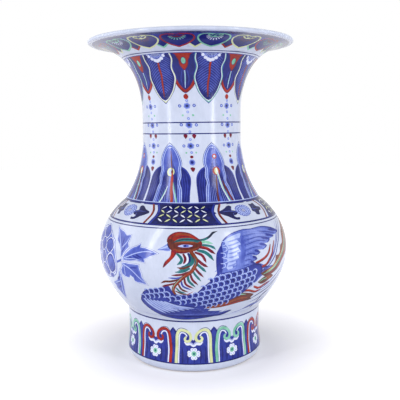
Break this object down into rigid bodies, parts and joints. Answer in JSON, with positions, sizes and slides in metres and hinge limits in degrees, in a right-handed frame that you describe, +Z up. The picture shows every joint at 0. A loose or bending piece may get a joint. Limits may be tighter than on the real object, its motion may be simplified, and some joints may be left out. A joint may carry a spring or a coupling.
{
  "type": "vase",
  "caption": "Large porcelain baluster vase with an open trumpet mouth, waisted neck, round belly and drum foot, built of luted sections and painted in underglaze blue and overglaze enamels",
  "frame": {"origin": "centre of the underside, on the plane that the foot stands on", "axes": "+Z is up along the axis of revolution, from the foot to the mouth; -Y faces the viewer of the picture; +X is the viewer's right"},
  "size_m": [0.29, 0.29, 0.452],
  "materials": {
    "glazed_porcelain": "clear bluish-white gloss glaze over painted cobalt, with red, green and yellow enamels",
    "joining_slip": "fired porcelain slip"
  },
  "bodies": {
    "root": {"foot_ring": "glazed_porcelain", "foot_slip_joint": "joining_slip", "lower_belly_bowl": "glazed_porcelain", "belly_slip_joint": "joining_slip", "shoulder_section": "glazed_porcelain", "neck_slip_joint": "joining_slip", "neck_section": "glazed_porcelain", "waist_slip_joint": "joining_slip", "trumpet_mouth": "glazed_porcelain"}
  },
  "joints": []
}
